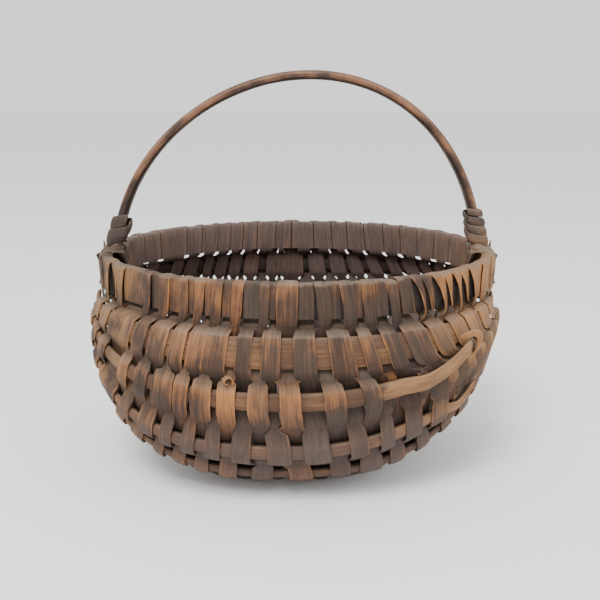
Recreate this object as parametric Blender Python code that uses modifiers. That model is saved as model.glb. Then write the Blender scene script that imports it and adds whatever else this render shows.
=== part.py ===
"""Buttocks basket of riven white oak: two hoops, twelve ribs and a splint weave.

X runs from ear to ear along the handle, -Y is the front, Z is up, the floor is z = 0.
Lengths in this file are millimetres; every mesh is written in metres.
"""
import math

import bmesh
import bpy
from mathutils import Vector

MM = 0.001
SHIFT = Vector((0.46, 0.0, -0.541))   # puts the middle of the whole basket's footprint at the origin
SPLINT = 1.1          # thickness of a weaving splint
GAP = 0.35            # air between two pieces that lie on each other
SIDE_GAP = 0.22       # air kept at each side of a weaver
SLANT_GAP = 0.66      # and this much more of it where the weaver crosses a rib on the slant

RIM_Z = 136.0         # middle of the rim hoop above the floor
RIM_TALL = 21.0
RIM_THICK = 5.0
HOOP_WIDE = 17.0      # handle hoop, measured along Y
HOOP_THICK = 6.3
HANDLE_RISE = 129.0   # middle of the hoop above the middle of the rim
HANDLE_LEAN = 9.0     # the top of the handle stands this far to the right
HANDLE_STEPS = 30     # stations along the handle, ear to ear
EAR_Y = 10.5          # the rib tips meet beside the spine, under the rim
EAR_DROP = 12.5
SWAY = -7.0           # the belly hangs a little to the left of the rim

# From rim to spine: y and z at mid span, half span, fullness, width and thickness at mid span
MEMBERS = (
    (-114.0, RIM_Z, 132.0, 2.00, RIM_TALL, RIM_THICK),
    (-121.5, 107.0, 132.5, 2.20, 19.0, 4.4),
    (-121.5, 77.0, 134.0, 2.40, 12.0, 6.4),
    (-109.0, 40.0, 134.0, 2.48, 11.5, 6.2),
    (-84.5, 15.6, 133.0, 2.48, 11.5, 6.0),
    (-57.0, 5.0, 131.0, 2.38, 11.0, 6.0),
    (-29.0, 15.6, 129.0, 2.25, 11.0, 6.0),
    (0.0, 20.0, 126.0, 2.00, HOOP_WIDE, HOOP_THICK),
)
SPINE = len(MEMBERS) - 1
LEVELS = 2 * SPINE    # rim 0, front ribs 1-6, spine 7, back ribs 8-13, back rim 14
LOWEST = 5            # the basket stands on the splints that cross this rib
LEVEL_PART = 0.99     # the nearer to 1, the shorter the level middle of that rib
LEFT_FULLER = 2.5     # the left half of the belly is this much longer than the right
EDGE = 0.86           # share of a half span where the ribs have tapered to their ends
END_WIDE = 4.0        # section of every rib there
END_THICK = 3.0

# Splint widths on the rim, left ear to right ear; odd ones start outside the rim
SPLINTS = (
    9.0, 9.0, 8.5, 9.0, 9.0, 18.0, 7.0, 6.6, 7.4, 8.0, 4.8, 5.4, 5.8, 5.2, 5.6, 5.8, 7.0, 9.0, 6.2, 4.2,
    11.8, 8.8, 7.6, 7.5, 7.6, 6.0, 6.8, 8.0, 6.8, 9.6, 7.0, 7.4, 9.2, 7.6, 7.2, 9.0, 8.0, 9.2, 8.6, 9.2, 9.4,
)
WEAVE_END = 0.84      # share of each half span that the weave covers
# How far the rows lean to the right on each member, in the middle, and spread apart to left and right
LEAN = (
    (0.0, 0.0, 0.0), (0.005, 0.039, 0.048), (0.018, 0.041, 0.104), (0.058, 0.080, 0.080),
    *[(0.060, 0.084, 0.084)] * 4,
)
RIM_SLIDE = 0.55      # share of the lean that the splints keep on the rim, and on the ribs below the first
RIB_SLIDE = 0.55
SPINE_SHARE = 0.945   # the rows draw together a little on the spine

HITCHED = {2: 3.5, 3: 4.0}   # the right halves of these ribs run this much higher

# The right ends of two front ribs have slipped out of the weave and lie on it:
# first row that misses the rib, share where it ends, share where it starts to stray, how far up and out
SLIPPED = {2: (26, 0.56, 0.322, 14.0, 6.8), 3: (30, 0.59, 0.482, 12.0, 5.2)}
LOOSE_THIN = 0.45     # share of its thickness that a slipped end has lost
LOOSE_STOPS = (0.17, 0.33, 0.9, 1.0)         # shares of a slipped end where its section is drawn

WRAP_LEFT = (17.4, 6, 9.4, 10.0)      # height above the rim's middle, sides it covers, width and pitch
WRAP_RIGHT = (16.0, 14, 6.0, 6.6)
LASH_HALF = 5.2       # half the splint that crosses over each ear, measured along the rim
LASH_TALL = 11.5      # it passes this far above and below the rim's middle
LASH_SIDE = 14.3      # and this far in front of and behind the hoop's middle
LASH_OUT = (135.5, 137.0)     # its two layers on the outside of the joint
LASH_IN = (121.0, 119.5)      # its two layers behind the hoop
LASH_CLIMB = 126.5            # and its way up between them, inside the rim,
LASH_NARROW = 0.65            # where it is this much narrower
LASH_TAILS = (0.9, 0.8)       # its two ends stop at these shares of the way down and up

OAK_RIM = (0.16, 0.10, 0.065)
OAK_RIB = (0.24, 0.15, 0.085)
OAK_SPLINT = (0.15, 0.095, 0.065)
OAK_HANDLE = (0.20, 0.10, 0.055)


def sway(z):
    depth = min(max(RIM_Z - z, 0.0) / 130.0, 1.0)
    return SWAY * 0.5 * (1.0 - math.cos(math.pi * depth))


def member_point(k, t):
    """Point on member k; t runs from -1 at the left ear over 0 to 1 at the right ear."""
    y, z, half, full = MEMBERS[k][:4]
    ear_y, ear_z = (0.0, RIM_Z) if k in (0, SPINE) else (-EAR_Y, RIM_Z - EAR_DROP)
    angle = abs(t) * math.pi / 2
    if t < 0 and k not in (0, SPINE):
        half += LEFT_FULLER
    x = math.copysign(half * math.sin(angle) ** (2 / full), t)
    out = max(math.cos(angle), 0.0) ** (2 / full)
    if k == LOWEST:
        out = min(out / LEVEL_PART, 1.0)
    z = ear_z + (z - ear_z) * out
    if t > 0 and k in HITCHED:
        z += HITCHED[k] * math.sin(math.pi * min(t / 0.7, 1.0)) ** 2
    return Vector((x + sway(z), ear_y + (y - ear_y) * out, z))


def arc_table(k, steps=480):
    ts = [-1 + 2 * i / steps for i in range(steps + 1)]
    points = [member_point(k, t) for t in ts]
    length = [0.0]
    for a, b in zip(points, points[1:]):
        length.append(length[-1] + (b - a).length)
    middle = length[steps // 2]
    total = length[-1]
    shares = [(s - middle) / (middle if s < middle else total - middle) for s in length]
    return ts, shares


TABLES = [arc_table(k) for k in range(len(MEMBERS))]


def member_at(k, u):
    """Point at share u (-1 left ear, 1 right ear) of the length of member k."""
    ts, shares = TABLES[k]
    u = min(max(u, -1.0), 1.0)
    low, high = 0, len(shares) - 1
    while high - low > 1:
        mid = (low + high) // 2
        if shares[mid] <= u:
            low = mid
        else:
            high = mid
    part = (u - shares[low]) / max(shares[high] - shares[low], 1e-9)
    return member_point(k, ts[low] + (ts[high] - ts[low]) * part)


def row_share(k, b):
    """Share of member k where a row edge that leaves the rim at share b crosses it."""
    middle, left, right = LEAN[k]
    lean = middle * 0.5 * (1 + math.cos(math.pi * b))
    lean += (left if b < 0 else right) * math.sin(math.pi * b / EDGE)
    return (b + lean) * (SPINE_SHARE if k == SPINE else 1.0)


def section(k, side, u):
    """Half width and half thickness of member k at share u."""
    width, thick = MEMBERS[k][4:6]
    if k not in (0, SPINE):
        s = min(abs(u) / EDGE, 1.0) ** 2.2
        width += (END_WIDE - width) * s
        thick += (END_THICK - thick) * s
        beyond = max(abs(u) - EDGE, 0.0) / (1 - EDGE)
        width -= 1.2 * beyond
        thick -= 0.6 * beyond
    return width / 2, thick / 2


def frame_at(k, side, b=None, u=None):
    """Point, way round the basket, outward and row directions and half section of member k."""
    share = [row_share(i, b) if b is not None else u for i in range(len(MEMBERS))]
    here = share[k]
    point = member_at(k, here)
    along = (member_at(k, here + 0.012) - member_at(k, here - 0.012)).normalized()
    if k == 0:
        across = Vector((0, 0, -1))
        row = (member_at(1, share[1]) - point).normalized()
    elif k == SPINE:
        across = row = Vector((0, 1, 0))
    else:
        row = (member_at(k + 1, share[k + 1]) - member_at(k - 1, share[k - 1])).normalized()
        across = (row - along * row.dot(along)).normalized()
    out = along.cross(across).normalized()
    if out.dot(point - Vector((sway(point.z), 0, 100))) < 0:
        out = -out
    half_w, half_t = section(k, side, here)
    if side < 0:
        flip = Vector((1, -1, 1))
        point, out = point * flip, out * flip
        across, row = -(across * flip), -(row * flip)
    return point, across, out, row, half_w, half_t


def stray(k, u):
    """How far up and out a slipped rib end lies off its own line."""
    start, end, up, out = SLIPPED[k][2], SLIPPED[k][1], SLIPPED[k][3], SLIPPED[k][4]
    t = max((u - start) / (end - start), 0.0)
    rise, lift = min(t, 1.0), min(3.0 * t, 1.0)
    return up * rise * rise, out * lift * lift * (3 - 2 * lift)


def blend(a, b, part):
    mixed = [p + (q - p) * part for p, q in zip(a, b)]
    for i in (1, 2, 3):
        mixed[i] = mixed[i].normalized()
    return mixed


bounds = [0.0]
for splint_width in SPLINTS:
    bounds.append(bounds[-1] + splint_width)
bounds = [WEAVE_END * (2 * s / bounds[-1] - 1) for s in bounds]
ROWS = len(SPLINTS)
KNOTS = list(range(0, ROWS, 2)) + [ROWS]      # every member is straight between two of these
FRAMES = {}
for level in range(SPINE + 1):
    for side in (1, -1):
        for knot in KNOTS:
            FRAMES[level, side, knot] = frame_at(level, side, b=bounds[knot])


def slant(k, b):
    """How much a row edge leans along member k on its way to the next members."""
    point = member_at(k, row_share(k, b))
    along = (member_at(k, row_share(k, b) + 0.01) - point).normalized()
    near = [i for i in (k - 1, k + 1) if 0 <= i <= SPINE]
    return max(abs((member_at(i, row_share(i, b)) - point).normalized().dot(along)) for i in near)


def row_edge(level, row, right):
    """Frame of one edge of a row where it crosses a level."""
    k, side = (level, 1) if level <= SPINE else (LEVELS - level, -1)
    knot = row - row % 2
    knot_2 = min(knot + 2, ROWS)
    a, b = FRAMES[k, side, knot], FRAMES[k, side, knot_2]
    start, end = row_share(k, bounds[knot]), row_share(k, bounds[knot_2])
    part = (row_share(k, bounds[row + right]) - start) / (end - start)
    chord = (b[0] - a[0]).length
    lean = min(slant(k, bounds[row + right]), 0.8)
    spare = (SIDE_GAP + SLANT_GAP * lean) / math.sqrt(1 - lean * lean)
    spare += 0.1 * abs(math.sin(3.1 * row + 1.7 * level)) if k > 0 else 0.17
    part += (-spare if right else spare) / chord
    return blend(a, b, part)


def row_side(row, right):
    """All stations of one edge of a row, from the front rim under the basket to the back rim."""
    outer_row = row % 2 == 0
    stations = []
    for level in range(LEVELS + 1):
        point, across, out, way, half_w, half_t = row_edge(level, row, right)
        lift = half_t + GAP + SPLINT / 2
        k = min(level, LEVELS - level)
        flat = (way - out * way.dot(out)).normalized()
        slide = flat / flat.dot(across) - across
        if k == 0:
            most = min(0.24, EDGE - abs(bounds[row + right]))
            slide *= min(RIM_SLIDE, most / max(slide.length, 0.01))
            down = (across + slide) * (1 if level == 0 else -1)
            top = point - down * (half_w + GAP + SPLINT / 2)
            if outer_row:
                hook = [point - out * lift + down * (half_w - 1.0), top - out * lift,
                        top + out * lift, point + out * lift + down * (half_w - 2.5)]
            else:
                hook = [point + out * lift + down * (half_w - 1.5), top + out * lift,
                        top - out * lift, point - out * lift + down * (half_w + 1.3)]
            stations += hook if level == 0 else hook[::-1]
            continue
        outside = (level % 2 == 0) == outer_row
        missed = level in SLIPPED and row >= SLIPPED[level][0]
        slide *= (1.0 if k == 1 else RIB_SLIDE) * min(1.0, (0.9 - abs(bounds[row + right])) / 0.12)
        reach = (across + slide) * (half_w + 0.35)
        lift = lift if outside and not missed else -lift
        if missed:
            lift += 0.9 * stray(level, row_share(level, bounds[row + right]))[1]
        stations += [point - reach + out * lift, point + reach + out * lift]
    return stations


def material(name, colour, rough=0.75):
    mat = bpy.data.materials.new(name)
    mat.use_nodes = True
    shader = mat.node_tree.nodes["Principled BSDF"]
    shader.inputs["Base Color"].default_value = (*colour, 1.0)
    shader.inputs["Roughness"].default_value = rough
    mat.diffuse_color = (*colour, 1.0)
    return mat


def mesh_object(name, verts, faces, mat):
    mesh = bpy.data.meshes.new(name)
    bm = bmesh.new()
    made = [bm.verts.new((v + SHIFT) * MM) for v in verts]
    for face in faces:
        bm.faces.new([made[i] for i in face])
    bmesh.ops.recalc_face_normals(bm, faces=bm.faces)
    bm.to_mesh(mesh)
    bm.free()
    mesh.materials.append(mat)
    for polygon in mesh.polygons:
        polygon.use_smooth = True
    mesh.set_sharp_from_angle(angle=math.radians(35))
    obj = bpy.data.objects.new(name, mesh)
    basket.objects.link(obj)
    return obj


def loft(name, rings, closed, mat):
    """Solid bar through a list of equal rings, closed into a hoop or capped at both ends."""
    n = len(rings[0])
    verts = [v for ring in rings for v in ring]
    faces = []
    count = len(rings)
    for i in range(count if closed else count - 1):
        a, b = i * n, ((i + 1) % count) * n
        for j in range(n):
            faces.append((a + j, a + (j + 1) % n, b + (j + 1) % n, b + j))
    if not closed:
        faces.append(tuple(range(n))[::-1])
        faces.append(tuple(range((count - 1) * n, count * n)))
    return mesh_object(name, verts, faces, mat)


def ribbon(name, left, right, mat, thick=SPLINT):
    """Splint: an open strip between two edges, given its thickness by Solidify."""
    verts = [v for pair in zip(left, right) for v in pair]
    faces = [(2 * i, 2 * i + 1, 2 * i + 3, 2 * i + 2) for i in range(len(left) - 1)]
    obj = mesh_object(name, verts, faces, mat)
    solid = obj.modifiers.new("splint", "SOLIDIFY")
    solid.thickness = thick * MM
    solid.offset = 0.0
    solid.use_even_offset = True
    solid.use_quality_normals = True
    return obj


def oblong(point, across, out, half_w, half_t, chamfer=0.0):
    """Section ring: a plain oblong, or one with cut corners."""
    if chamfer:
        pairs = []
        for sa, so, first in ((1, 1, 0), (-1, 1, 1), (-1, -1, 0), (1, -1, 1)):
            corner = [(sa * half_w, so * (half_t - chamfer)), (sa * (half_w - chamfer), so * half_t)]
            pairs += corner[::-1] if first else corner
    else:
        pairs = [(half_w, half_t), (-half_w, half_t), (-half_w, -half_t), (half_w, -half_t)]
    return [point + across * a + out * o for a, o in pairs]


for old in list(bpy.data.objects):
    bpy.data.objects.remove(old, do_unlink=True)
basket = bpy.data.collections.new("buttocks_basket")
bpy.context.scene.collection.children.link(basket)

# Rim hoop: one flat oak band bent to an oval
mat_rim = material("oak_rim", OAK_RIM)
rings = []
ends = (0.885, 0.93, 0.975)
for side in (1, -1):
    half = [frame_at(0, side, u=-e) for e in reversed(ends)]
    half += [FRAMES[0, side, knot] for knot in KNOTS]
    half += [frame_at(0, side, u=e) for e in ends]
    for point, across, out, way, half_w, half_t in (half if side > 0 else reversed(half)):
        rings.append(oblong(point, Vector((0, 0, 1)), out, half_w, half_t, chamfer=1.1))
loft("rim_hoop", rings, True, mat_rim)

# Handle hoop: the handle above the rim and the spine rib below it are one bent hoop
mat_hoop = material("oak_handle", OAK_HANDLE)
rings = []
lower = [frame_at(SPINE, 1, u=-e) for e in (0.955, 0.91)]
lower = [frame_at(SPINE, 1, u=-1.0)] + lower + [FRAMES[SPINE, 1, knot] for knot in KNOTS]
lower += [frame_at(SPINE, 1, u=e) for e in (0.91, 0.955, 1.0)]
for point, across, out, way, half_w, half_t in lower:
    out = Vector((math.copysign(1, point.x), 0, 0)) if abs(point.z - RIM_Z) < 0.1 else out
    rings.append(oblong(point, Vector((0, 1, 0)), out, half_w, half_t, chamfer=1.3))


def handle_point(angle):
    """Middle of the handle; 0 is the right ear, pi the left one."""
    rise = math.sin(angle)
    x = MEMBERS[SPINE][2] * math.cos(angle) + HANDLE_LEAN * rise ** 2
    return Vector((x, 0, RIM_Z + HANDLE_RISE * rise))


for i in range(1, HANDLE_STEPS):
    angle = math.pi * i / HANDLE_STEPS
    point = handle_point(angle)
    along = (handle_point(angle + 0.02) - handle_point(angle - 0.02)).normalized()
    out = Vector((along.z, 0, -along.x))
    narrow = 0.5 * math.sin(angle) ** 2
    rings.append(oblong(point, Vector((0, 1, 0)), out, HOOP_WIDE / 2 - narrow, HOOP_THICK / 2, chamfer=1.3))
loft("handle_hoop", rings, True, mat_hoop)

# Ribs: six on each side, tapered to both ends
mat_rib = material("oak_rib", OAK_RIB)
for side, half_name in ((1, "front"), (-1, "back")):
    for k in range(1, SPINE):
        tip = 0.945 if k % 2 else 0.90
        rings = []
        stops = [(None, -tip)] + ([(None, -0.89)] if k % 2 else [])
        stops += [(knot, None) for knot in KNOTS]
        if side > 0 and k in SLIPPED:
            end, start = SLIPPED[k][1:3]
            stops = [s for s in stops if s[0] is None or row_share(k, bounds[s[0]]) < end - 0.03]
            stops += [(None, start + (end - start) * part) for part in LOOSE_STOPS]
            stops.sort(key=lambda s: s[1] if s[0] is None else row_share(k, bounds[s[0]]))
        else:
            stops += ([(None, 0.89)] if k % 2 else []) + [(None, tip)]
        for i, (knot, share) in enumerate(stops):
            frame = FRAMES[k, side, knot] if knot is not None else frame_at(k, side, u=share)
            point, across, out, way, half_w, half_t = frame
            if side > 0 and k in SLIPPED:
                up, off = stray(k, row_share(k, bounds[knot]) if share is None else share)
                thin = LOOSE_THIN * half_t * off / SLIPPED[k][4]
                point = point - across * up + out * (off - thin)
                half_t -= thin
                if i == len(stops) - 1:
                    half_w, half_t = half_w * 0.55, half_t * 0.7
            rings.append(oblong(point, across, out, half_w, half_t))
        loft("%s_rib_%d" % (half_name, k), rings, False, mat_rib)

# Weavers: flat splints that hook over the front rim, pass under the basket and hook over the back rim
mat_splint = material("oak_splint", OAK_SPLINT, 0.8)
for row in range(ROWS):
    ribbon("weaver_%02d" % (row + 1), row_side(row, 0), row_side(row, 1), mat_splint)

# Handle wraps: splint wound round each leg of the handle just above the rim
mat_lash = material("oak_lashing", OAK_SPLINT, 0.85)


def wrap(name, sign, start, sides, width, pitch):
    """Splint wound up a leg of the handle; it starts on the inner side of the leg."""
    left, right = [], []
    side_y, side_o = HOOP_WIDE / 2 + GAP + SPLINT / 2, HOOP_THICK / 2 + GAP + SPLINT / 2
    corners = ((1, -1), (-1, -1), (-1, 1), (1, 1))
    lengths = (2 * side_y, 2 * side_o)
    height = start
    for i in range(sides + 1):
        y, o = corners[i % 4]
        for edge, store in ((-0.5, left), (0.5, right)):
            angle = (height + edge * width) / HANDLE_RISE
            angle = angle if sign > 0 else math.pi - angle
            point = handle_point(angle)
            along = (handle_point(angle + 0.02) - handle_point(angle - 0.02)).normalized()
            out = Vector((along.z, 0, -along.x))
            store.append(point + Vector((0, y * side_y, 0)) + out * o * side_o)
        height += pitch * lengths[i % 2] / (2 * sum(lengths))
    ribbon(name, left, right, mat_lash)


wrap("handle_wrap_left", -1, *WRAP_LEFT)
wrap("handle_wrap_right", 1, *WRAP_RIGHT)

# Ear lashings: a splint crossed over each joint of the two hoops. It goes up behind the hoop, over the
# rim, down across the outside and under the rim, climbs inside the rim and crosses the other way
for sign, side_name in ((-1, "left"), (1, "right")):
    near, far = LASH_OUT
    first, second = LASH_IN
    path = [
        (first, -1, -LASH_TAILS[0]), (first, 1, 1), (near, 1, 1), (near, -1, -1), (LASH_CLIMB, -1, -1),
        (LASH_CLIMB, -1, 1), (far, -1, 1), (far, 1, -1), (second, 1, -1),
        (second, -LASH_TAILS[1], LASH_TAILS[1]),
    ]
    left, right = [], []
    for x, y, z in path:
        middle = Vector((sign * x, y * LASH_SIDE, RIM_Z + z * LASH_TALL))
        half = Vector((0, LASH_HALF * (LASH_NARROW if x == LASH_CLIMB else 1.0), 0))
        left.append(middle - half)
        right.append(middle + half)
    ribbon("ear_lashing_" + side_name, left, right, mat_lash)
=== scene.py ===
"""The looks of a buttocks basket: riven white oak, dark with age, woven on two hoops and twelve ribs.

X runs from ear to ear, -Y is the front, Z is up. Lengths are millimetres until a mesh is written.
"""
import math

import bmesh
import bpy
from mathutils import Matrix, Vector, noise


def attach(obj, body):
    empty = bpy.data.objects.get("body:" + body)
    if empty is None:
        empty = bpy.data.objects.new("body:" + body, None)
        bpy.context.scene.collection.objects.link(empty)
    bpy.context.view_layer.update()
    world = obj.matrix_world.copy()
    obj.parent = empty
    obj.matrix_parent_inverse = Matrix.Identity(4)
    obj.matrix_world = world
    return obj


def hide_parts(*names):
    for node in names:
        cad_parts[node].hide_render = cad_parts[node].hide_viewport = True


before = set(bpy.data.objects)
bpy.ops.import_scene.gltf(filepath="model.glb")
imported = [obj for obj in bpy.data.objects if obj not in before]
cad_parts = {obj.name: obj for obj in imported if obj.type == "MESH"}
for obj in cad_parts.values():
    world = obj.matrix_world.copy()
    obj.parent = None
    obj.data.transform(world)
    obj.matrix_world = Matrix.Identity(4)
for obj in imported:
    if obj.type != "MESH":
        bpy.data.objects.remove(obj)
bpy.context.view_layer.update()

# The rim hoop: one flat band of riven oak, steamed, bent to an oval and scarfed to itself.
# It is grey and bare; only short stretches beside the ears show between the splints.
MM = 0.001
SHIFT = Vector((0.46, 0.0, -0.541))    # from the maker's centre line to the middle of the footprint
RIM_Z = 136.0
SWAY, SWAY_DEEP = -7.0, 130.0          # the belly leans this far to the left, this far below the rim
EAR_Y, EAR_DROP = 10.5, 12.5           # rib tips meet this far before and below the middle of an ear
HOOP_WIDE, HOOP_THICK = 17.0, 6.3
# From rim to spine: y and z at mid span, half span, fullness, width and thickness at mid span
MEMBERS = (
    (-114.0, RIM_Z, 132.0, 2.00, 21.0, 5.0),
    (-121.5, 107.0, 132.5, 2.20, 19.0, 4.4),
    (-121.5, 77.0, 134.0, 2.40, 12.0, 6.4),
    (-109.0, 40.0, 134.0, 2.48, 11.5, 6.2),
    (-84.5, 15.6, 133.0, 2.48, 11.5, 6.0),
    (-57.0, 5.0, 131.0, 2.38, 11.0, 6.0),
    (-29.0, 15.6, 129.0, 2.25, 11.0, 6.0),
    (0.0, 20.0, 126.0, 2.00, HOOP_WIDE, HOOP_THICK),
)
SPINE = len(MEMBERS) - 1
LOWEST, LEVEL_PART = 5, 0.99           # the rib that the basket stands on is level over its middle
LEFT_FULLER = 2.5                      # the ribs bulge more on the left
HITCHED, HITCH_LONG = {2: 3.5, 3: 4.0}, 0.7     # two ribs ride higher over this share of their right half
EDGE = 0.86                            # share of its half where a rib's taper ends and its tip begins
SHAVED_LATE = 2.2                      # the higher, the later its wood comes off
END_WIDE, END_THICK = 4.0, 3.0
TIP_LESS_WIDE, TIP_LESS_THICK = 1.2, 0.6
BACK_FIRST, BACK_RAISED = 10.5, 3.7    # the first back rib is narrower than the front one, and higher
HEART_Z = 100.0                        # height of the middle of the basket, from which everything faces out
NEAR = 0.012                           # share of a member over which its direction is taken


def sway(z):
    depth = min(max(RIM_Z - z, 0.0) / SWAY_DEEP, 1.0)
    return SWAY * 0.5 * (1.0 - math.cos(math.pi * depth))


def member_point(k, t):
    """Point on member k; t runs from -1 at the left ear over 0 to 1 at the right ear."""
    y, z, half, full = MEMBERS[k][:4]
    ear_y, ear_z = (0.0, RIM_Z) if k in (0, SPINE) else (-EAR_Y, RIM_Z - EAR_DROP)
    angle = abs(t) * math.pi / 2
    if t < 0 and k not in (0, SPINE):
        half += LEFT_FULLER
    x = math.copysign(half * math.sin(angle) ** (2 / full), t)
    out = max(math.cos(angle), 0.0) ** (2 / full)
    if k == LOWEST:
        out = min(out / LEVEL_PART, 1.0)
    z = ear_z + (z - ear_z) * out
    if t > 0 and k in HITCHED:
        z += HITCHED[k] * math.sin(math.pi * min(t / HITCH_LONG, 1.0)) ** 2
    return Vector((x + sway(z), ear_y + (y - ear_y) * out, z))


def arc_table(k, steps=480):
    ts = [-1 + 2 * i / steps for i in range(steps + 1)]
    points = [member_point(k, t) for t in ts]
    length = [0.0]
    for a, b in zip(points, points[1:]):
        length.append(length[-1] + (b - a).length)
    middle = length[steps // 2]
    total = length[-1]
    return ts, [(s - middle) / (middle if s < middle else total - middle) for s in length]


TABLES = [arc_table(k) for k in range(len(MEMBERS))]


def member_at(k, u):
    """Point at share u (-1 left ear, 1 right ear) of the length of member k."""
    ts, shares = TABLES[k]
    u = min(max(u, -1.0), 1.0)
    low, high = 0, len(shares) - 1
    while high - low > 1:
        mid = (low + high) // 2
        if shares[mid] <= u:
            low = mid
        else:
            high = mid
    part = (u - shares[low]) / max(shares[high] - shares[low], 1e-9)
    return member_point(k, ts[low] + (ts[high] - ts[low]) * part)


# Of each member, in shares of its half length: how far the rows lean to the right in its middle, and
# how far they spread apart to its left and to its right
LEAN = (
    (0.0, 0.0, 0.0), (0.005, 0.039, 0.048), (0.018, 0.041, 0.104), (0.058, 0.080, 0.080),
    *[(0.060, 0.084, 0.084)] * 4,
)
SPINE_SHARE = 0.945     # on the spine the rows are closer together


def row_share(k, b):
    """Share of member k where a row edge that leaves the rim at share b crosses it."""
    middle, left, right = LEAN[k]
    lean = middle * 0.5 * (1 + math.cos(math.pi * b))
    lean += (left if b < 0 else right) * math.sin(math.pi * b / EDGE)
    return (b + lean) * (SPINE_SHARE if k == SPINE else 1.0)


def section(k, side, u):
    """Half width and half thickness of member k at share u."""
    width, thick = MEMBERS[k][4:6]
    width = BACK_FIRST if k == 1 and side < 0 else width
    if k not in (0, SPINE):
        s = min(abs(u) / EDGE, 1.0) ** SHAVED_LATE
        width += (END_WIDE - width) * s
        thick += (END_THICK - thick) * s
        beyond = max(abs(u) - EDGE, 0.0) / (1 - EDGE)
        width -= TIP_LESS_WIDE * beyond
        thick -= TIP_LESS_THICK * beyond
    return width / 2, thick / 2


def frame_at(k, side, b=None, u=None):
    """Point, way round the basket, outward and row directions and half section of member k."""
    share = [row_share(i, b) if b is not None else u for i in range(len(MEMBERS))]
    here = share[k]
    point = member_at(k, here)
    along = (member_at(k, here + NEAR) - member_at(k, here - NEAR)).normalized()
    if k == 0:
        across = Vector((0, 0, -1))
        row = (member_at(1, share[1]) - point).normalized()
    elif k == SPINE:
        across = row = Vector((0, 1, 0))
    else:
        row = (member_at(k + 1, share[k + 1]) - member_at(k - 1, share[k - 1])).normalized()
        across = (row - along * row.dot(along)).normalized()
    out = along.cross(across).normalized()
    if out.dot(point - Vector((sway(point.z), 0, HEART_Z))) < 0:
        out = -out
    half_w, half_t = section(k, side, here)
    if side < 0:
        point.z += BACK_RAISED * (k == 1) * (1 - min(abs(here) / EDGE, 1.0) ** 2)
        flip = Vector((1, -1, 1))
        point, out = point * flip, out * flip
        across, row = -(across * flip), -(row * flip)
    return point, across, out, row, half_w, half_t


# Places where hands and shelves have rubbed the oak bright: middle, reach and strength
RUBBED = (
    ((-28.0, -126.0, 108.0), 26.0, 0.35), ((-50.0, -128.0, 62.0), 13.0, 1.0),
    ((-30.0, -128.0, 72.0), 14.0, 0.6), ((-8.0, -128.0, 68.0), 16.0, 0.8),
    ((-92.0, -100.0, 105.0), 30.0, 0.35), ((92.0, -88.0, 141.0), 22.0, 0.7),
    ((-13.0, -122.0, 146.0), 9.0, 0.4), ((22.0, -128.0, 84.0), 16.0, 0.5),
    ((-62.0, -100.0, 135.0), 22.0, 0.4), ((78.0, -100.0, 80.0), 30.0, 0.4),
    ((120.0, -45.0, 95.0), 40.0, 0.5), ((-122.0, -50.0, 80.0), 40.0, 0.5),
    ((117.0, -62.0, 141.0), 24.0, 0.8),
)
RUB_WEAR = 0.8


def rubbed(place):
    return min(sum(much * math.exp(-(place - Vector(spot)).length_squared / reach ** 2)
                   for spot, reach, much in RUBBED), 1.0)


def drag(bm, ring):
    """Extrudes a ring of vertices once and gives the new ring in the same order."""
    pairs = zip(ring, ring[1:] + ring[:1])
    made = bmesh.ops.extrude_edge_only(bm, edges=[bm.edges.get(pair) for pair in pairs])["geom"]
    fresh = {g for g in made if isinstance(g, bmesh.types.BMVert)}
    return [next(e.other_vert(v) for e in v.link_edges if e.other_vert(v) in fresh) for v in ring]


CREASE = math.radians(50)     # corners sharper than this stay crisp


def bar(name, stations, hoop=False):
    """A piece of wood drawn along its grain: a ring of points at each station, each point given as
    its place, its place in the straight wood (along, across, deep) and its looks (tone, wear with a
    painted highlight, edge, painted shade), kept as its age."""
    bm = bmesh.new()
    grain = bm.verts.layers.float_vector.new("grain")
    age = bm.verts.layers.float_color.new("age")
    ring = bmesh.ops.create_circle(bm, segments=len(stations[0]), radius=MM)["verts"]
    first = ring
    for i, station in enumerate(stations):
        ring = drag(bm, ring) if i else ring
        for vert, (place, wood, look) in zip(ring, station):
            vert.co = (place + SHIFT) * MM
            vert[grain] = wood * MM
            tone, wear_and_highlight, edge, painted_shade = look
            vert[age] = (tone, wear_and_highlight + RUB_WEAR * rubbed(place), edge, painted_shade)
    ends = [[bm.edges.get(pair) for pair in zip(row, row[1:] + row[:1])] for row in (first, ring)]
    if hoop:
        bmesh.ops.bridge_loops(bm, edges=ends[0] + ends[1])
    else:
        for edges in ends:
            bmesh.ops.edgeloop_fill(bm, edges=edges)
    bmesh.ops.recalc_face_normals(bm, faces=bm.faces)
    for face in bm.faces:
        face.smooth = True
    mesh = bpy.data.meshes.new(name)
    bm.to_mesh(mesh)
    bm.free()
    mesh.set_sharp_from_angle(angle=CREASE)
    obj = bpy.data.objects.new(name, mesh)
    bpy.context.scene.collection.objects.link(obj)
    return obj


def round_section(half_w, half_t, square, count):
    """Points (across, deep) round a shaved bar; square 2 is an ellipse and 8 nearly an oblong."""
    points = []
    for i in range(count):
        angle = 2 * math.pi * (i + 0.5) / count
        c, s = math.cos(angle), math.sin(angle)
        reach = (abs(c) ** square + abs(s) ** square) ** (-1 / square)
        points.append((half_w * reach * c, half_t * reach * s))
    return points


MARK_LONG, MARK_WIDE, MARK_DEEP = 22, 9, 5     # size of the marks that the drawknife leaves
GRAIN_APART = 40     # like pieces are cut this far apart in the wood, so they differ


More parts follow.
